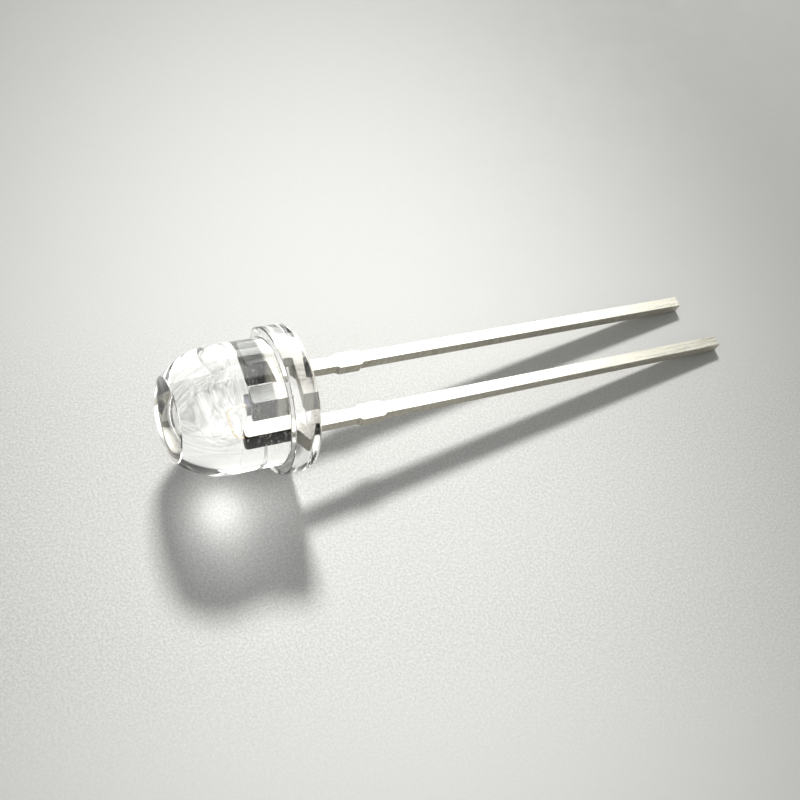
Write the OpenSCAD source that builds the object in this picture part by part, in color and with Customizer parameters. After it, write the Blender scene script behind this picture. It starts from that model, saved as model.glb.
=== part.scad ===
// Clear 5 mm phototransistor, two leads, lying as it rests on a table.
// Object frame before it is laid down: the lens axis is X, the nose points to
// -X, the flange's back face is x = 0 and the leads run to +X. Units: mm.

/* [Lens body] */
// Diameter of the moulded barrel
barrel_d = 5.0; // [4.8:0.1:5.2]
// From the flange's back face to the end of the straight barrel
barrel_end = 2.95; // [2.4:0.05:6]
// From the flange's back face to the tip of the nose
body_len = 5.3; // [5:0.05:9]
// Radius of the ring where the lens cap meets the shoulder
ring_r = 1.75; // [1.2:0.05:2]
// Height of the lens cap above that ring
cap_h = 0.56; // [0.4:0.02:1.1]
// Step of the mould split line between barrel and shoulder
split_step = 0.02; // [0:0.01:0.05]

/* [Flange] */
// Diameter of the flange
flange_d = 5.8; // [5.5:0.1:6.2]
// Thickness of the flange
flange_t = 1.05; // [0.8:0.05:1.5]
// Distance of the flange's flat from the lens axis
flat_y = 2.55; // [2.52:0.01:2.8]
// Radius on the flange's two rims
rim_r = 0.1; // [0.05:0.01:0.2]
// Fillet between the flange and the barrel
foot_r = 0.12; // [0.05:0.01:0.25]
// Radius of the shallow dish the resin leaves in the back face
dish_r = 2.4; // [1.8:0.1:2.6]
// Depth of that dish
dish_depth = 0.12; // [0.02:0.01:0.25]

/* [Leads] */
// Distance between the two leads' centre lines
pitch = 2.54; // [2.5:0.01:2.6]
// Width of a lead, across the two of them
lead_w = 0.5; // [0.4:0.05:0.6]
// Thickness of the lead sheet
lead_t = 0.5; // [0.4:0.05:0.6]
// Height of the sheet's middle plane over the lens axis
lead_z = -0.25; // [-0.4:0.05:0]
// Length of the collector lead behind the flange
collector_len = 20.5; // [10:0.1:30]
// Length of the emitter lead behind the flange
emitter_len = 21.3; // [11:0.1:31]
// Where the cut tie-bar stub starts behind the flange
stub_from = 2.33; // [1:0.01:4]
// Length of the stub
stub_len = 1.17; // [0.8:0.01:1.6]
// Width of the lead over the stub
stub_w = 0.7; // [0.6:0.02:1]
// Slope at the stub's two ends
stub_slope = 0.12; // [0.05:0.01:0.2]
// Chamfer on the cut end of each lead
tip_ch = 0.06; // [0.02:0.01:0.12]

/* [Leadframe inside the body] */
// Front of the collector's rib, forward of the flange's back face
rib_front = 1.75; // [1.4:0.05:2.2]
// Back of that rib
rib_back = 0.2; // [0.15:0.05:0.4]
// Height of the rib, which is pressed down out of the sheet
rib_h = 1.1; // [0.8:0.05:1.3]
// Front of the die header
head_front = 1.95; // [1.6:0.05:2.3]
// Back of the die header
head_back = 0.3; // [0.2:0.05:0.6]
// Middle of the header, across the leads
head_y = 0.185; // [0.1:0.005:0.3]
// Width of the header
head_w = 0.47; // [0.44:0.01:0.56]
// Rise of the header's top over the sheet's top
head_rise = 0.1; // [0:0.02:0.2]
// Height of the header
head_h = 0.8; // [0.6:0.05:1]
// Length of the web that carries the header from the rib
web_len = 0.45; // [0.3:0.05:0.7]
// Front of the emitter's bond post
post_front = 2.5; // [2.2:0.05:2.7]
// Middle of the bond post, across the leads
post_y = -0.76; // [-0.9:0.01:-0.65]
// Width of the bond post
post_w = 0.48; // [0.4:0.02:0.5]
// Where the emitter lead starts to jog in to the post
jog_at = 0.12; // [0.1:0.01:0.2]
// Length of that jog
jog_len = 0.4; // [0.3:0.05:0.6]
// Corner radius of the bond post's end
post_r = 0.15; // [0.05:0.01:0.18]
// Chamfer on the front corners of rib and header
bar_ch = 0.07; // [0.03:0.01:0.12]
// Slope under the rib and the header, front and back
under_ch = 0.2; // [0.1:0.05:0.3]

/* [Die and bond wire] */
// Side of the square die
die_s = 0.36; // [0.3:0.01:0.4]
// Thickness of the die
die_t = 0.18; // [0.1:0.01:0.25]
// Side of the layer of conductive adhesive under the die
paste_s = 0.4; // [0.36:0.01:0.42]
// Thickness of that layer
paste_t = 0.02; // [0.01:0.01:0.04]
// Radius of the bond wire
wire_r = 0.02; // [0.0125:0.0025:0.03]
// Height of the wire loop over the die
loop_h = 0.6; // [0.58:0.01:0.7]
// Bend radius of the wire loop
bend_r = 0.2; // [0.1:0.01:0.22]
// Radius of the bonded ball on the die
ball_r = 0.05; // [0.04:0.005:0.07]
// Thickness of the bonded ball
ball_t = 0.03; // [0.02:0.005:0.04]
// Radius of the bonded foot on the post
foot_pad_r = 0.06; // [0.04:0.005:0.08]
// Thickness of the bonded foot
foot_pad_t = 0.015; // [0.01:0.005:0.03]

/* [Hidden] */
$fn = 96;

barrel_r = barrel_d/2;
flange_r = flange_d/2;
lens_r = (ring_r*ring_r + cap_h*cap_h)/(2*cap_h);      // cap through ring and tip
ring_u = body_len - cap_h;                             // ring, forward of x = 0
top_r = barrel_r - split_step;                         // shoulder at the split line
ring_du = ring_u - barrel_end;
// shoulder arc: leaves the split line along the barrel and meets the ring
should_r = (ring_du*ring_du + (top_r - ring_r)*(top_r - ring_r))/(2*(top_r - ring_r));
dish_big = (dish_r*dish_r + dish_depth*dish_depth)/(2*dish_depth);
z_low = lead_z - lead_t/2;
z_top = lead_z + lead_t/2;
y_far = pitch/2;
y_near = -pitch/2;
far_out = y_far + lead_w/2;
far_in = y_far - lead_w/2;
head_top = z_top + head_rise;
die_z = head_top - head_h/2;
die_low_u = head_front + paste_t;
die_top_u = die_low_u + die_t;
eps = 0.01;

// wire: from the die to the middle of the bond post's front
wire_dy = post_y - head_y;
wire_dz = lead_z - die_z;
wire_span = sqrt(wire_dy*wire_dy + wire_dz*wire_dz);
wire_turn = atan2(wire_dz, wire_dy);
loop_top_u = die_top_u + loop_h;

// How it rests: the rim of the flange and the low corner of each lead's tip
// are on the table. tan(tilt) comes from those three contacts.
tip1 = collector_len - tip_ch;
tip2 = emitter_len - tip_ch;
skew = (tip1 - tip2)/pitch;
reach = tip1 - (y_far + lead_w/2)*skew;
function rest_tan(t, n) = n == 0 ? t
    : rest_tan((z_low*sqrt(1 - skew*skew*t*t) + flange_r - rim_r
                + rim_r*sqrt(1 + t*t))/(reach + rim_r), n - 1);
tilt_tan = rest_tan(0.1, 40);
tilt = atan(tilt_tan);
roll = asin(skew*tilt_tan);
lift = (flange_r - rim_r)*cos(tilt) + rim_r*(1 - sin(tilt));
// world axes written in the object frame
wz = [-sin(tilt), cos(tilt)*sin(roll), cos(tilt)*cos(roll)];
wx_len = sqrt(1 - wz[0]*wz[0]);
wx = [(1 - wz[0]*wz[0])/wx_len, -wz[0]*wz[1]/wx_len, -wz[0]*wz[2]/wx_len];
wy = cross(wz, wx);
// middle of the laid-down object over the table
nose_x = -(body_len - lens_r)*wx[0] - lens_r;
tip_pts = [for (a = [0, 1]) for (s = [-1, 1]) for (q = [-1, 1])
    [emitter_len - a*tip_ch, y_near + s*(lead_w/2 - (1 - a)*tip_ch),
     lead_z + q*(lead_t/2 - (1 - a)*tip_ch)]];
tail_x = max([for (v = tip_pts) v*wx]);
flat_half = sqrt(flange_r*flange_r - flat_y*flat_y);
side_far = max(flat_y*wy[1] + flat_half*abs(wy[2]), barrel_r);
mid_x = (nose_x + tail_x)/2;
mid_y = (side_far - flange_r)/2;

module lay_down() {
    multmatrix([[wx[0], wx[1], wx[2], -mid_x],
                [wy[0], wy[1], wy[2], -mid_y],
                [wz[0], wz[1], wz[2], lift],
                [0, 0, 0, 1]]) children();
}

// turns a shape built on +Z so that it points to the nose
module to_nose() { rotate([0, -90, 0]) children(); }

module case_outline() {
    difference() {
        union() {
            square([flange_r - rim_r, flange_t]);
            translate([0, rim_r]) square([flange_r, flange_t - 2*rim_r]);
            translate([flange_r - rim_r, rim_r]) circle(rim_r);
            translate([flange_r - rim_r, flange_t - rim_r]) circle(rim_r);
            square([barrel_r, barrel_end]);
            translate([barrel_r - eps, flange_t - eps]) difference() {
                square(foot_r + eps);
                translate([foot_r + eps, foot_r + eps]) circle(foot_r);
            }
            intersection() {
                translate([top_r - should_r, barrel_end]) circle(should_r);
                translate([0, barrel_end - eps]) square([top_r, ring_du + eps]);
            }
            intersection() {
                translate([0, body_len - lens_r]) circle(lens_r);
                translate([0, ring_u - eps]) square([ring_r, cap_h + 2*eps]);
            }
        }
        translate([0, dish_depth - dish_big]) circle(dish_big);
    }
}

// the lead from its cut tip to where it enters the resin
module lead_sheet(len, y0, start) {
    h = lead_w/2;
    s = stub_w/2;
    stub_to = stub_from + stub_len;
    intersection() {
        translate([0, y0, z_low]) linear_extrude(lead_t) polygon([
            [-start, -h], [stub_from, -h], [stub_from + stub_slope, -s],
            [stub_to - stub_slope, -s], [stub_to, -h], [len - tip_ch, -h],
            [len, -h + tip_ch], [len, h - tip_ch], [len - tip_ch, h],
            [stub_to, h], [stub_to - stub_slope, s], [stub_from + stub_slope, s],
            [stub_from, h], [-start, h]]);
        translate([0, y0 + lead_w, 0]) rotate([90, 0, 0])
            linear_extrude(2*lead_w) polygon([
                [-start - 1, z_low], [len - tip_ch, z_low], [len, z_low + tip_ch],
                [len, z_top - tip_ch], [len - tip_ch, z_top], [-start - 1, z_top]]);
    }
}

// a bar along the axis, its front corners cut in plan and its underside sloped
module pressed_bar(front, back, y0, y1, top, h) {
    intersection() {
        translate([0, 0, top - h]) linear_extrude(h) polygon([
            [-back, y0], [-back, y1], [-front + bar_ch, y1], [-front, y1 - bar_ch],
            [-front, y0 + bar_ch], [-front + bar_ch, y0]]);
        translate([0, y1 + 1, 0]) rotate([90, 0, 0])
            linear_extrude(y1 - y0 + 2) polygon([
                [-back, top], [-front, top], [-front, top - h + bar_ch],
                [-front + bar_ch, top - h], [-back - under_ch, top - h],
                [-back, top - h + under_ch]]);
    }
}

module collector_shape() {
    lead_sheet(collector_len, y_far, rib_back + eps);
    pressed_bar(rib_front, rib_back, far_in, far_out, z_top, rib_h);
    // web in the plane of the sheet, from the rib to the header
    translate([0, 0, z_low]) linear_extrude(lead_t) polygon([
        [-head_back, far_in + eps], [-head_back, head_y],
        [-head_back - web_len, head_y], [-head_back - web_len, head_y + head_w/2],
        [-head_back - web_len - 0.15, far_in + eps]]);
    pressed_bar(head_front, head_back, head_y - head_w/2, head_y + head_w/2,
        head_top, head_h);
}

module emitter_shape() {
    h = lead_w/2;
    g = post_w/2;
    in_w = post_w - 2*post_r;
    lead_sheet(emitter_len, y_near, jog_at);
    translate([0, 0, z_low]) linear_extrude(lead_t) {
        polygon([
            [-jog_at + eps, y_near - h], [-jog_at + eps, y_near + h],
            [-jog_at, y_near + h], [-jog_at - jog_len, post_y + g],
            [-post_front + post_r, post_y + g], [-post_front + post_r, post_y - g],
            [-jog_at - jog_len, post_y - g], [-jog_at, y_near - h]]);
        translate([-post_front, post_y - in_w/2]) square([2*post_r, in_w]);
        for (s = [-1, 1]) translate([-post_front + post_r, post_y + s*in_w/2])
            circle(post_r);
    }
}

module die_shape() {
    translate([-die_top_u, head_y - die_s/2, die_z - die_s/2])
        cube([die_t, die_s, die_s]);
}

module paste_shape() {
    translate([-die_low_u, head_y - paste_s/2, die_z - paste_s/2])
        cube([paste_t, paste_s, paste_s]);
}

// the wire, built on +Z over the die with the post in +X
module wire_flat() {
    up = loop_h - bend_r;
    down = loop_top_u - bend_r - post_front;
    cylinder(h = ball_t, r = ball_r);
    cylinder(h = up, r = wire_r);
    translate([bend_r, 0, up]) rotate([90, 0, 0])
        rotate([0, 0, 90]) rotate_extrude(angle = 90) translate([bend_r, 0]) circle(wire_r);
    translate([bend_r, 0, loop_h]) rotate([0, 90, 0])
        cylinder(h = wire_span - 2*bend_r, r = wire_r);
    translate([wire_span - bend_r, 0, up]) rotate([90, 0, 0])
        rotate_extrude(angle = 90) translate([bend_r, 0]) circle(wire_r);
    translate([wire_span, 0, up - down]) cylinder(h = down, r = wire_r);
    translate([wire_span, 0, up - down]) cylinder(h = foot_pad_t, r = foot_pad_r);
}

module wire_shape() {
    translate([-die_top_u, head_y, die_z]) rotate([wire_turn, 0, 0])
        rotate([0, -90, 0]) rotate([0, 0, 90]) wire_flat();
}

module epoxy_case() {
    color([0.93, 0.95, 0.95, 0.35]) lay_down() difference() {
        to_nose() rotate_extrude() case_outline();
        translate([-flange_t - foot_r, flat_y, -flange_r])
            cube([flange_t + foot_r + eps, flange_r, flange_d]);
        collector_shape();
        emitter_shape();
        die_shape();
        paste_shape();
        wire_shape();
    }
}

module collector_lead() {
    color([0.78, 0.77, 0.73]) lay_down() collector_shape();
}

module emitter_lead() {
    color([0.78, 0.77, 0.73]) lay_down() emitter_shape();
}

module photo_die() {
    color([0.16, 0.16, 0.2]) lay_down() die_shape();
}

module die_paste() {
    color([0.66, 0.66, 0.64]) lay_down() paste_shape();
}

module bond_wire() {
    color([0.85, 0.66, 0.3]) lay_down() wire_shape();
}

epoxy_case();
collector_lead();
emitter_lead();
photo_die();
die_paste();
bond_wire();
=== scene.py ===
import math
import bpy
import bmesh
from mathutils import Matrix, Vector


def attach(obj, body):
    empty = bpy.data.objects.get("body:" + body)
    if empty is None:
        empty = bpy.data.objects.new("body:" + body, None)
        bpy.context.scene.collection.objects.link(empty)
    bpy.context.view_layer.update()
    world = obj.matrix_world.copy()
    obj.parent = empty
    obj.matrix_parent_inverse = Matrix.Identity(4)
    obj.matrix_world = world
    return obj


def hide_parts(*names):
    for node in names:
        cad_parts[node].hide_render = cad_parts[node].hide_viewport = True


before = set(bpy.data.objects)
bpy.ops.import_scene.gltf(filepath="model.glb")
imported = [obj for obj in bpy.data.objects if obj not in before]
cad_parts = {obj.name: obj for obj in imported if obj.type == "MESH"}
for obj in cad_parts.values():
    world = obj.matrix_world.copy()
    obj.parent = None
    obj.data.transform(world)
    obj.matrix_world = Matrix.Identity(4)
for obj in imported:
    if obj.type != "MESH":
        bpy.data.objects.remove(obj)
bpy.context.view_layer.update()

# ---- sizes in mm, as in the part's source. In the part's own frame x runs from the flange's
# back face toward the lead tips, y across the leads and z out of the lead sheet
MM = 0.001
PER_METRE = 1000
BARREL_R, BARREL_END, BODY_LEN = 2.5, 2.95, 5.3
RING_R, CAP_H, SPLIT_STEP = 1.75, 0.56, 0.02
FLANGE_R, FLANGE_T, FLAT_Y, RIM_R, FOOT_R = 2.9, 1.05, 2.55, 0.1, 0.12
DISH_R, DISH_DEPTH = 2.4, 0.12
PITCH, LEAD_W, LEAD_T, LEAD_Z = 2.54, 0.5, 0.5, -0.25
FAR_LEN, NEAR_LEN, TIP_CHAMFER = 20.5, 21.3, 0.06
# the visible lens is finer than the source's at the nose ring and at the flange's front edges
SHOW_RING_R, SHOW_CAP_H, RING_STEP, EDGE_R = 1.65, 0.34, 0.05, 0.04
UP = Vector((0, 0, 1))

# ---- how the part lies: on the flange's rim and on one lower corner of each lead tip. The slope
# depends on itself through the rim's rounding, so it is found in rounds
SLOPE_GUESS, SLOPE_ROUNDS = 0.1, 60
low_face = LEAD_Z - LEAD_T / 2
far_tip, near_tip = FAR_LEN - TIP_CHAMFER, NEAR_LEN - TIP_CHAMFER
skew = (far_tip - near_tip) / PITCH
reach = far_tip - (PITCH + LEAD_W) / 2 * skew
slope = SLOPE_GUESS
for _ in range(SLOPE_ROUNDS):
    slope = (low_face * math.sqrt(1 - (skew * slope) ** 2) + FLANGE_R - RIM_R
             + RIM_R * math.sqrt(1 + slope * slope)) / (reach + RIM_R)
tilt, roll = math.atan(slope), math.asin(skew * slope)
lift = (FLANGE_R - RIM_R) * math.cos(tilt) + RIM_R * (1 - math.sin(tilt))

# the row frame's axes, seen in the part's own frame
up_axis = Vector((-math.sin(tilt), math.cos(tilt) * math.sin(roll), math.cos(tilt) * math.cos(roll)))
long_axis = (Vector((1, 0, 0)) - up_axis * up_axis.x).normalized()
side_axis = up_axis.cross(long_axis)
turn = Matrix((long_axis, side_axis, up_axis))
# the part's own axes, seen in the row frame: along it, across the leads, out of the sheet
own_axes = list(turn.transposed())

# the row frame's origin is under the middle of the part as it lies
ball_r = (RING_R ** 2 + CAP_H ** 2) / (2 * CAP_H)
nose_x = -(BODY_LEN - ball_r) * long_axis.x - ball_r
tip_corners = [Vector((NEAR_LEN - back, s * (LEAD_W / 2 - inset) - PITCH / 2,
                       q * (LEAD_T / 2 - inset) + LEAD_Z))
               for back, inset in ((0, TIP_CHAMFER), (TIP_CHAMFER, 0))
               for s in (-1, 1) for q in (-1, 1)]
tail_x = max(corner.dot(long_axis) for corner in tip_corners)
half_flat = math.sqrt(FLANGE_R ** 2 - FLAT_Y ** 2)
far_y = max(FLAT_Y * side_axis.y + half_flat * abs(side_axis.z), BARREL_R)
middle = Vector(((nose_x + tail_x) / 2, (far_y - FLANGE_R) / 2, 0))


def place(point):
    """a point of the part's own frame, in mm, as a point of the row frame in metres"""
    return (turn @ Vector(point) - middle + UP * lift) * MM


def add_object(name, data):
    thing = bpy.data.objects.new(name, data)
    bpy.context.scene.collection.objects.link(thing)
    return thing


# ---- node helpers; each adds to the tree it is given and returns a node's output
MIX_SOCKETS = {"FLOAT": (2, 3, 0), "RGBA": (6, 7, 2)}  # where a mix node has A, B and its result


def new_material(name):
    material = bpy.data.materials.new(name)
    material.use_nodes = True
    return material, material.node_tree, material.node_tree.nodes["Principled BSDF"]


def put(tree, socket, value):
    """link value to the socket if it is a node's output, and set it there if it isn't"""
    if isinstance(value, bpy.types.NodeSocket):
        tree.links.new(value, socket)
    elif socket.type == "RGBA":
        socket.default_value = (*value, 1)
    else:
        socket.default_value = value


def calc(tree, operation, *values):
    node = tree.nodes.new("ShaderNodeMath")
    node.operation = operation
    for socket, value in zip(node.inputs, values):
        put(tree, socket, value)
    return node.outputs[0]


def dot(tree, vector, axis):
    node = tree.nodes.new("ShaderNodeVectorMath")
    node.operation = "DOT_PRODUCT"
    tree.links.new(vector, node.inputs[0])
    node.inputs[1].default_value = tuple(axis)
    return node.outputs["Value"]


def fade(tree, value, low, high, at_low=0.0, at_high=1.0):
    """goes smoothly from at_low to at_high as value goes from low to high"""
    node = tree.nodes.new("ShaderNodeMapRange")
    node.interpolation_type = "SMOOTHSTEP"
    names = ("Value", "From Min", "From Max", "To Min", "To Max")
    for name, number in zip(names, (value, low, high, at_low, at_high)):
        put(tree, node.inputs[name], number)
    return node.outputs[0]


def mix(tree, share, a, b, kind="RGBA"):
    """the colour, or the number, between a and b: a where share is 0 and b where it is 1"""
    node = tree.nodes.new("ShaderNodeMix")
    node.data_type = kind
    socket_a, socket_b, result = MIX_SOCKETS[kind]
    put(tree, node.inputs[0], share)
    put(tree, node.inputs[socket_a], a)
    put(tree, node.inputs[socket_b], b)
    return node.outputs[result]


def coords(tree, stretch=None):
    """where a point is, in mm of the row frame; with stretch, along the part's axes times it"""
    point = tree.nodes.new("ShaderNodeTexCoord").outputs["Object"]
    if stretch:
        own = tree.nodes.new("ShaderNodeCombineXYZ")
        for socket, axis in zip(own.inputs, own_axes):
            tree.links.new(dot(tree, point, axis), socket)
        point = own.outputs[0]
    mapping = tree.nodes.new("ShaderNodeMapping")
    mapping.inputs["Scale"].default_value = [PER_METRE * v for v in stretch or (1, 1, 1)]
    tree.links.new(point, mapping.inputs["Vector"])
    return mapping.outputs["Vector"]


def along_part(tree):
    """how far a point is along the part in mm, from the flange's back face toward the tips"""
    point = tree.nodes.new("ShaderNodeTexCoord").outputs["Object"]
    start = own_axes[0].dot(middle - UP * lift)
    return calc(tree, "MULTIPLY_ADD", dot(tree, point, own_axes[0]), PER_METRE, start)


def noise(tree, vector, scale, detail, rough=0.5):
    node = tree.nodes.new("ShaderNodeTexNoise")
    tree.links.new(vector, node.inputs["Vector"])
    for name, number in (("Scale", scale), ("Detail", detail), ("Roughness", rough)):
        node.inputs[name].default_value = number
    return node.outputs[0]


def bump(tree, height, depth, strength):
    """the normal of a relief that is depth mm deep"""
    node = tree.nodes.new("ShaderNodeBump")
    put(tree, node.inputs["Strength"], strength)
    node.inputs["Distance"].default_value = depth * MM
    tree.links.new(height, node.inputs["Height"])
    return node.outputs["Normal"]


# ---- materials. A NOISE has cells per mm, detail and, where it isn't 0.5, roughness. A RANGE is
# the part of a noise, or of a length in mm, over which a look changes. A ROUGH has the two ends
# of the shader's roughness, and a STRETCH goes along the part's own axes. Depths are in mm
WIDE = (0.3, 0.7)

EPOXY_IOR = 1.54
HAZE_NOISE, HAZE_RANGE, HAZE_ROUGH = (0.9, 2), (0.45, 0.75), (0.0, 0.018)
WAVE_NOISE, WAVE_DEPTH, WAVE_STRENGTH = (0.45, 0), 0.02, 0.05


def epoxy():
    """cast resin: an even polish with a faint haze, and the slow waves of casting"""
    material, tree, shader = new_material("clear_epoxy")
    put(tree, shader.inputs["Base Color"], (1, 1, 1))
    shader.inputs["Transmission Weight"].default_value = 1.0
    shader.inputs["IOR"].default_value = EPOXY_IOR
    point = coords(tree)
    haze = fade(tree, noise(tree, point, *HAZE_NOISE), *HAZE_RANGE, *HAZE_ROUGH)
    waves = bump(tree, noise(tree, point, *WAVE_NOISE), WAVE_DEPTH, WAVE_STRENGTH)
    tree.links.new(haze, shader.inputs["Roughness"])
    tree.links.new(waves, shader.inputs["Normal"])
    return material


# tin: the colours of the rolled faces, the last a painted fading of their bright reflection toward
# the tip, then those of the sheared sides, outside and, painted almost black as shade, in the resin.
# FACE_RANGE is how squarely a surface looks out of the sheet, which a rolled face does at 1
TIN_CLEAN, TIN_DULL, TIN_FADED_TIP = (0.93, 0.915, 0.87), (0.87, 0.845, 0.78), (0.84, 0.82, 0.72)
SHEAR_DARK, SHEAR_PALE = (0.30, 0.285, 0.235), (0.50, 0.48, 0.41)
SIDE_SHADE_DARK, SIDE_SHADE_SPECK = (0.006, 0.006, 0.005), (0.46, 0.45, 0.41)
FACE_RANGE, TIP_FADE_RANGE, CLOUD_RANGE, SPECK_RANGE = (0.86, 0.96), (9, 19), (0.35, 0.7), (0.54, 0.7)
CLOUD_NOISE, GRAIN_NOISE = (0.35, 3), (16, 3, 0.6)
STREAK_STRETCH, STREAK_NOISE, STREAK_ROUGH = (0.35, 6, 6), (1.6, 4, 0.6), (0.24, 0.38)
SHEAR_STRETCH, SHEAR_NOISE, SHEAR_ROUGH = (7, 0.6, 1.1), (2.2, 4, 0.65), (0.38, 0.55)
SPECK_STRETCH, SPECK_NOISE = (1.4, 1, 1), (7, 3, 0.75)
STREAK_SHARE, TIN_DEPTH, TIN_STRENGTH = 0.5, 0.006, 0.5
INNER_CLOUD, INNER_EDGE = 0.8, 0.1
# the colour of a rolled face in the resin, and where along the part it and the sides' painted shade
# end, in mm. The header's colour is a painted dark shade and the post's a pale cream
HEADER_SHADE, HEADER_SHADE_END = (0.21, 0.216, 0.212), -0.95
POST_INNER, POST_INNER_END = (0.80, 0.775, 0.69), -0.5


def tin(name, inner_color, inner_end):
    """a lead: bright rolled faces, dimmer and creamier toward the tip as a painted fading of their
    reflection, and dark sheared sides, painted almost black as shade deep in the body
    """
    material, tree, shader = new_material(name)
    shader.inputs["Metallic"].default_value = 1.0
    point = coords(tree)
    x = along_part(tree)
    normal = tree.nodes.new("ShaderNodeNewGeometry").outputs["True Normal"]
    facing = calc(tree, "ABSOLUTE", dot(tree, normal, own_axes[2]))
    is_side = fade(tree, facing, *FACE_RANGE, 1.0, 0.0)
    # deep in the body the sides take a painted shade, almost black, the header's rolled face a
    # painted dark grey shade, and the post's rolled face a pale cream
    is_inner = fade(tree, x, inner_end - INNER_EDGE, inner_end + INNER_EDGE, 1.0, 0.0)
    cloud = fade(tree, noise(tree, point, *CLOUD_NOISE), *CLOUD_RANGE)
    grain = noise(tree, point, *GRAIN_NOISE)
    streak = noise(tree, coords(tree, STREAK_STRETCH), *STREAK_NOISE)
    shear = noise(tree, coords(tree, SHEAR_STRETCH), *SHEAR_NOISE)
    speck = noise(tree, coords(tree, SPECK_STRETCH), *SPECK_NOISE)

    outer_face = mix(tree, cloud, TIN_CLEAN, TIN_DULL)
    # painted light: the rolled faces dim to cream toward the tip, standing in for their bright
    # reflection fading there
    outer_face = mix(tree, fade(tree, x, *TIP_FADE_RANGE), outer_face, TIN_FADED_TIP)
    inner_face = mix(tree, cloud, inner_color, [INNER_CLOUD * c for c in inner_color])
    outer_side = mix(tree, fade(tree, shear, *WIDE), SHEAR_DARK, SHEAR_PALE)
    # painted shade: the sides deep in the body are almost black, with pale specks
    shaded_inner_side = mix(tree, fade(tree, speck, *SPECK_RANGE), SIDE_SHADE_DARK, SIDE_SHADE_SPECK)
    face = mix(tree, is_inner, outer_face, inner_face)
    side = mix(tree, is_inner, outer_side, shaded_inner_side)
    tree.links.new(mix(tree, is_side, face, side), shader.inputs["Base Color"])

    face_rough = fade(tree, streak, *WIDE, *STREAK_ROUGH)
    side_rough = fade(tree, shear, *WIDE, *SHEAR_ROUGH)
    rough = mix(tree, is_side, face_rough, side_rough, "FLOAT")
    tree.links.new(rough, shader.inputs["Roughness"])
    face_height = calc(tree, "ADD", calc(tree, "MULTIPLY", streak, STREAK_SHARE), grain)
    height = mix(tree, is_side, face_height, shear, "FLOAT")
    relief = bump(tree, height, TIN_DEPTH, TIN_STRENGTH)
    tree.links.new(relief, shader.inputs["Normal"])
    return material


# silicon, paste and gold: one kind of grain, of which each has its own cells per mm and depth
FINE_DETAIL, FINE_NOISE_ROUGH, FINE_RANGE, FINE_STRENGTH = 4, 0.6, (0.35, 0.65), 0.6


def grained(name, colors, metallic, rough, cells, depth):
    """a material whose colour and roughness each wander between two ends"""
    material, tree, shader = new_material(name)
    grain = noise(tree, coords(tree), cells, FINE_DETAIL, FINE_NOISE_ROUGH)
    color = mix(tree, fade(tree, grain, *FINE_RANGE), *colors)
    relief = bump(tree, grain, depth, FINE_STRENGTH)
    shader.inputs["Metallic"].default_value = metallic
    tree.links.new(color, shader.inputs["Base Color"])
    tree.links.new(fade(tree, grain, *WIDE, *rough), shader.inputs["Roughness"])
    tree.links.new(relief, shader.inputs["Normal"])
    return material


finishes = {
    "collector_lead": tin("tinned_header", HEADER_SHADE, HEADER_SHADE_END),
    "emitter_lead": tin("tinned_lead", POST_INNER, POST_INNER_END),
    "photo_die": grained("silicon", colors=((0.05, 0.05, 0.07), (0.09, 0.09, 0.13)),
                         metallic=0.4, rough=(0.12, 0.2), cells=6, depth=0.001),
    "die_paste": grained("silver_paste", colors=((0.55, 0.55, 0.53), (0.7, 0.7, 0.67)),
                         metallic=0.7, rough=(0.4, 0.6), cells=30, depth=0.004),
    "bond_wire": grained("gold_wire", colors=((0.86, 0.74, 0.50), (0.90, 0.80, 0.58)),
                         metallic=1.0, rough=(0.2, 0.3), cells=20, depth=0.001)}
for name, material in finishes.items():
    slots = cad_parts[name].data.materials
    slots.clear()
    slots.append(material)

# ---- the softened edges of the CAD pieces, with widths in mm
BEVEL_WIDTHS = {"collector_lead": 0.025, "emitter_lead": 0.025, "photo_die": 0.006}
BEVEL_SEGMENTS, BEVEL_ANGLE = 3, math.radians(30)
for name, width in BEVEL_WIDTHS.items():
    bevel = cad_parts[name].modifiers.new("edge", "BEVEL")
    bevel.width = width * MM
    bevel.segments = BEVEL_SEGMENTS
    bevel.limit_method = "ANGLE"
    bevel.angle_limit = BEVEL_ANGLE
    bevel.harden_normals = True

# ---- the lens body: one smooth revolve that stands for the CAD case
NOSE_STEPS, EDGE_STEPS, DISH_STEPS, TURN_STEPS = 48, 8, 24, 384
BARREL_STEPS, SIDE_STEPS = 12, 6
SMOOTH_ANGLE = math.radians(6)  # faces that meet at more than this have a crisp edge


def arc(u, r, radius, start, end, steps):
    """points round (u, r), from start to end in degrees: 0 is forward and 90 outward"""
    angles = [math.radians(start + (end - start) * i / steps) for i in range(steps + 1)]
    return [(u + radius * math.cos(a), r + radius * math.sin(a)) for a in angles]


def straight(start, end, r, steps):
    """points at r from start to end; short steps keep the soft shading of an edge near it"""
    return [(start + (end - start) * i / steps, r) for i in range(steps + 1)]


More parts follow.
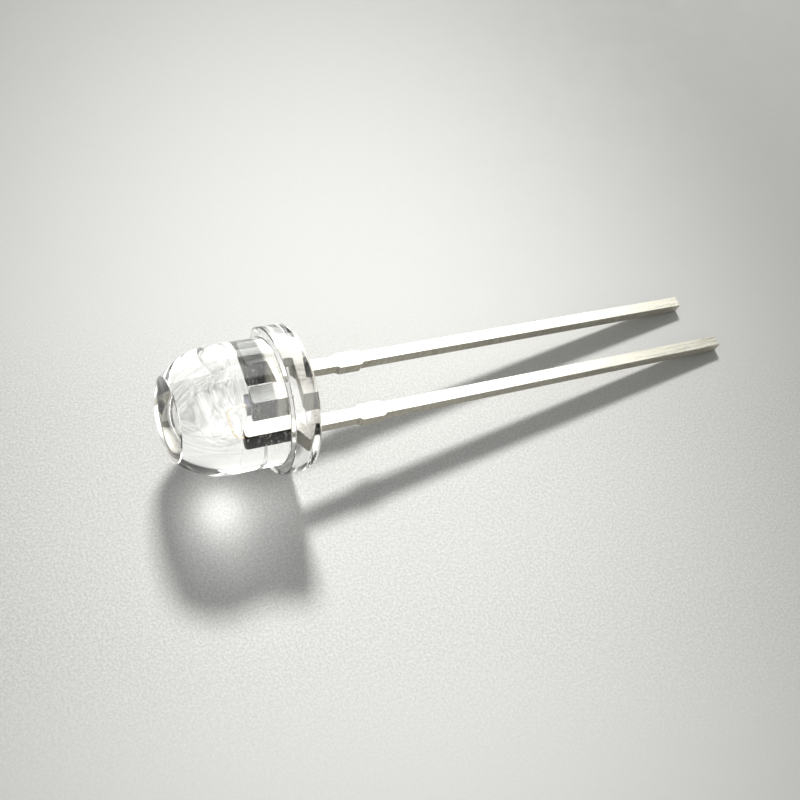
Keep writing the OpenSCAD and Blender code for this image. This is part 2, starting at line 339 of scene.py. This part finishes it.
def outline():
    """(u, r) from the nose tip to the middle of the back; u is forward of the back face"""
    cap_r = (SHOW_RING_R ** 2 + SHOW_CAP_H ** 2) / (2 * SHOW_CAP_H)
    ring_angle = math.degrees(math.asin(SHOW_RING_R / cap_r))
    cap = arc(BODY_LEN - cap_r, 0, cap_r, 0, ring_angle, NOSE_STEPS)

    # the shoulder leaves the split line along the barrel and meets the nose ring's step
    top_r = BARREL_R - SPLIT_STEP
    rise, run = top_r - SHOW_RING_R, BODY_LEN - SHOW_CAP_H - RING_STEP - BARREL_END
    shoulder_r = (run ** 2 + rise ** 2) / (2 * rise)
    step_angle = math.degrees(math.acos(run / shoulder_r))
    shoulder = arc(BARREL_END, top_r - shoulder_r, shoulder_r, step_angle, 90, NOSE_STEPS)

    # the foot, the side and the rim leave out the point that they would begin with, as the
    # stretch before them ends on it or just short of it
    barrel = straight(BARREL_END, FLANGE_T + FOOT_R, BARREL_R, BARREL_STEPS)
    foot = arc(FLANGE_T + EDGE_R, BARREL_R + EDGE_R, EDGE_R, 270, 180, EDGE_STEPS)[1:]
    front_edge = arc(FLANGE_T - EDGE_R, FLANGE_R - EDGE_R, EDGE_R, 0, 90, EDGE_STEPS)
    side = straight(FLANGE_T - EDGE_R, RIM_R, FLANGE_R, SIDE_STEPS)[1:]
    rim = arc(RIM_R, FLANGE_R - RIM_R, RIM_R, 90, 180, EDGE_STEPS)[1:]
    dish_ball = (DISH_R ** 2 + DISH_DEPTH ** 2) / (2 * DISH_DEPTH)
    dish_angle = math.degrees(math.asin(DISH_R / dish_ball))
    dish = arc(DISH_DEPTH - dish_ball, 0, dish_ball, dish_angle, 0, DISH_STEPS)
    return cap + shoulder + barrel + foot + front_edge + side + rim + dish


def revolve(name, points, material):
    """points turned round the part's axis, cut by the flange's flat; one on the axis stays one"""
    bm = bmesh.new()
    rings = []
    for u, r in points:
        steps = TURN_STEPS if r else 1
        angles = [2 * math.pi * j / steps for j in range(steps)]
        rings.append([bm.verts.new(place((-u, min(r * math.cos(a), FLAT_Y), r * math.sin(a))))
                      for a in angles])
    for front, back in zip(rings, rings[1:]):
        for j in range(TURN_STEPS):
            k = (j + 1) % TURN_STEPS
            corners = (front[j % len(front)], back[j % len(back)],
                       back[k % len(back)], front[k % len(front)])
            bm.faces.new(list(dict.fromkeys(corners)))
    bmesh.ops.recalc_face_normals(bm, faces=bm.faces)
    mesh = bpy.data.meshes.new(name)
    bm.to_mesh(mesh)
    bm.free()
    mesh.materials.append(material)
    for face in mesh.polygons:
        face.use_smooth = True
    mesh.set_sharp_from_angle(angle=SMOOTH_ANGLE)
    return add_object(name, mesh)


lens = revolve("lens_body", outline(), epoxy())
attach(lens, "root")
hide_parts("epoxy_case")

# ---- camera, from the fit to the photograph. Its distance and target are in mm of the part's own
# frame, its focal length in pixels of the frame, and its clips in metres
AZIMUTH, ELEVATION, CAMERA_ROLL = math.radians(44.582), math.radians(51.948), math.radians(26.513)
DISTANCE, TARGET = 39.139, Vector((3.456, -1.924, 1.499))
FOCAL_PIXELS, FRAME_PIXELS, SENSOR_MM = 1016.579, 800, 36
CLIP_START, CLIP_END = 0.001, 20
toward_camera = Vector((-math.sin(AZIMUTH) * math.cos(ELEVATION),
                        -math.cos(AZIMUTH) * math.cos(ELEVATION), math.sin(ELEVATION)))
level_right = UP.cross(toward_camera).normalized()
level_up = toward_camera.cross(level_right)
image_right = level_right * math.cos(CAMERA_ROLL) + level_up * math.sin(CAMERA_ROLL)
image_up = level_up * math.cos(CAMERA_ROLL) - level_right * math.sin(CAMERA_ROLL)
camera_data = bpy.data.cameras.new("camera")
camera_data.sensor_width = SENSOR_MM
camera_data.lens = FOCAL_PIXELS / FRAME_PIXELS * SENSOR_MM
camera_data.clip_start = CLIP_START
camera_data.clip_end = CLIP_END
camera = add_object("camera", camera_data)
pose = Matrix([turn @ axis for axis in (image_right, image_up, toward_camera)])
pose = pose.transposed().to_4x4()
pose.translation = place(TARGET + toward_camera * DISTANCE)
camera.matrix_world = pose
bpy.context.scene.camera = camera

# on the table: away from the viewer, which is up the picture, and across to the right
away = turn @ image_up
away.z = 0
away.normalize()
across = away.cross(UP)

# ---- table: a painted pool of light, pale near the part and darker outward in an ellipse, with grain
# along a band by the body. Lengths are in mm, across and away from the row frame's origin, and
# POOL_RANGE is in radii of the ellipse
TABLE_HALF = 3  # in metres
POOL_X, POOL_ACROSS, POOL_AWAY, POOL_RANGE = -5.1, 10.4, 15, (0.2, 2.77)
POOL_PALE, POOL_DARK = (0.82, 0.828, 0.826), (0.353, 0.356, 0.356)
BAND_AWAY, BAND_RANGE, BAND_SHARE = -6.0, (4, 11), (1.0, 0.15)
TABLE_GRAIN, TABLE_CLOUD = (10, 3, 0.75), (0.8, 3)
TONE_RANGE, TONE, TABLE_ROUGH = (0.38, 0.64), (0.88, 1.09), (0.42, 0.5)
TABLE_DEPTH, TABLE_STRENGTH = 0.04, 0.8


def table_material():
    """a pale matt sheet with a fine grain, darkened outward from a painted pool of light by the part
    """
    material, tree, shader = new_material("table")
    point = coords(tree)
    point_across = dot(tree, point, across)
    point_away = dot(tree, point, away)
    side = calc(tree, "MULTIPLY_ADD", point_across, 1 / POOL_ACROSS, -POOL_X / POOL_ACROSS)
    depth = calc(tree, "MULTIPLY", point_away, 1 / POOL_AWAY)
    side_squared = calc(tree, "MULTIPLY", side, side)
    depth_squared = calc(tree, "MULTIPLY", depth, depth)
    radius = calc(tree, "SQRT", calc(tree, "ADD", side_squared, depth_squared))
    # painted light: a pool, pale near the part and darker outward
    painted_light_pool = mix(tree, fade(tree, radius, *POOL_RANGE), POOL_PALE, POOL_DARK)

    off_band = calc(tree, "ABSOLUTE", calc(tree, "SUBTRACT", point_away, BAND_AWAY))
    band = fade(tree, off_band, *BAND_RANGE, *BAND_SHARE)
    grain = noise(tree, point, *TABLE_GRAIN)
    tone = mix(tree, band, 1.0, fade(tree, grain, *TONE_RANGE, *TONE), "FLOAT")
    color = tree.nodes.new("ShaderNodeVectorMath")
    color.operation = "SCALE"
    tree.links.new(painted_light_pool, color.inputs[0])
    tree.links.new(tone, color.inputs["Scale"])
    tree.links.new(color.outputs[0], shader.inputs["Base Color"])
    rough = fade(tree, noise(tree, point, *TABLE_CLOUD), *WIDE, *TABLE_ROUGH)
    tree.links.new(rough, shader.inputs["Roughness"])
    strength = calc(tree, "MULTIPLY", band, TABLE_STRENGTH)
    tree.links.new(bump(tree, grain, TABLE_DEPTH, strength), shader.inputs["Normal"])
    return material


table_mesh = bpy.data.meshes.new("table")
table_mesh.from_pydata([(x * TABLE_HALF, y * TABLE_HALF, 0)
                        for x, y in ((-1, -1), (1, -1), (1, 1), (-1, 1))], [], [(0, 1, 2, 3)])
table_mesh.materials.append(table_material())
floor = add_object("table", table_mesh)

# ---- key lamp, beyond the part as the camera sees it. Its size and distance are in metres, and it
# aims at a point of the part's own frame, in mm
KEY_ELEVATION, KEY_DISTANCE, KEY_AIM = math.radians(43), 0.5, (-2, 0, 0)
KEY_W, KEY_H, KEY_WATTS, KEY_COLOR = 0.09, 0.06, 2.9, (1, 0.985, 0.95)
lamp = bpy.data.lights.new("key", "AREA")
lamp.shape = "RECTANGLE"
lamp.size = KEY_W
lamp.size_y = KEY_H
lamp.energy = KEY_WATTS
lamp.color = KEY_COLOR
toward_key = away * math.cos(KEY_ELEVATION) + UP * math.sin(KEY_ELEVATION)
key = add_object("key", lamp)
key.location = place(KEY_AIM) + toward_key * KEY_DISTANCE
key.rotation_euler = (-toward_key).to_track_quat("-Z", "Y").to_euler()
key.visible_glossy = False

# ---- world. Diffuse surfaces get AMBIENT and the camera sees BACKDROP. Only sharp reflections
# and refractions see the sky and its bright patches. A patch has a level and its limits, each as
# low, high and softness. HEIGHT and AZIMUTH are in degrees, azimuth 0 being away from the viewer
# and growing to the right. ACROSS and AWAY are shares of the ray's direction. What lies past
# 90 degrees or a share of -1 leaves that end open
AMBIENT, BACKDROP, SKY_COLOR = 0.28, 0.8, (1, 0.998, 0.965)
SKY_HEIGHTS, SKY_LEVELS = (2, 70), (0.10, 0.55)
BACK_LEVEL, BACK_AZIMUTH, BACK_HEIGHT = 5.0, (-15, 14, 1.5), (2, 21, 1.5)
RIGHT_LEVEL, RIGHT_AZIMUTH, RIGHT_HEIGHT = 3.2, (13, 40, 5), (22, 62, 4)
FRONT_LEVEL, FRONT_HEIGHT = 4.6, (14, 120, 10)
FRONT_ACROSS, FRONT_AWAY = (-0.4, 0.85, 0.2), (-2, -0.1, 0.2)
UNDIFFUSED = 0.5  # a ray that has met no diffuse surface has a diffuse depth below this


def window(tree, value, low, high, soft):
    """1 between low and high and 0 outside, with soft edges"""
    opens = fade(tree, value, low - soft, low + soft)
    closes = fade(tree, value, high - soft, high + soft, 1, 0)
    return calc(tree, "MULTIPLY", opens, closes)


def patch(tree, level, *limits):
    """level where every value is within its limits, and 0 elsewhere"""
    for value, limit in limits:
        level = calc(tree, "MULTIPLY", level, window(tree, value, *limit))
    return level


def studio():
    """the world that lights the scene and shows in the resin and the metal"""
    world = bpy.data.worlds.new("world")
    world.use_nodes = True
    tree = world.node_tree
    background = tree.nodes["Background"]
    ray = tree.nodes.new("ShaderNodeTexCoord").outputs["Generated"]
    ray_away, ray_across, ray_up = [dot(tree, ray, axis) for axis in (away, across, UP)]
    azimuth = calc(tree, "DEGREES", calc(tree, "ARCTAN2", ray_across, ray_away))
    height = calc(tree, "DEGREES", calc(tree, "ARCSINE", ray_up))

    sky = fade(tree, height, *SKY_HEIGHTS, *SKY_LEVELS)
    back = patch(tree, BACK_LEVEL, (azimuth, BACK_AZIMUTH), (height, BACK_HEIGHT))
    right = patch(tree, RIGHT_LEVEL, (azimuth, RIGHT_AZIMUTH), (height, RIGHT_HEIGHT))
    front = patch(tree, FRONT_LEVEL, (ray_across, FRONT_ACROSS), (ray_away, FRONT_AWAY),
                  (height, FRONT_HEIGHT))
    for bright in (back, right, front):
        sky = calc(tree, "ADD", sky, bright)

    path = tree.nodes.new("ShaderNodeLightPath").outputs
    specular = calc(tree, "MAXIMUM", path["Is Glossy Ray"], path["Is Transmission Ray"])
    undiffused = calc(tree, "LESS_THAN", path["Diffuse Depth"], UNDIFFUSED)
    sharp = calc(tree, "MULTIPLY", specular, undiffused)
    plain = mix(tree, path["Is Camera Ray"], AMBIENT, BACKDROP, "FLOAT")
    strength = mix(tree, sharp, plain, sky, "FLOAT")
    put(tree, background.inputs["Color"], SKY_COLOR)
    tree.links.new(strength, background.inputs["Strength"])
    return world


bpy.context.scene.world = studio()
bpy.context.scene.view_settings.view_transform = "Standard"
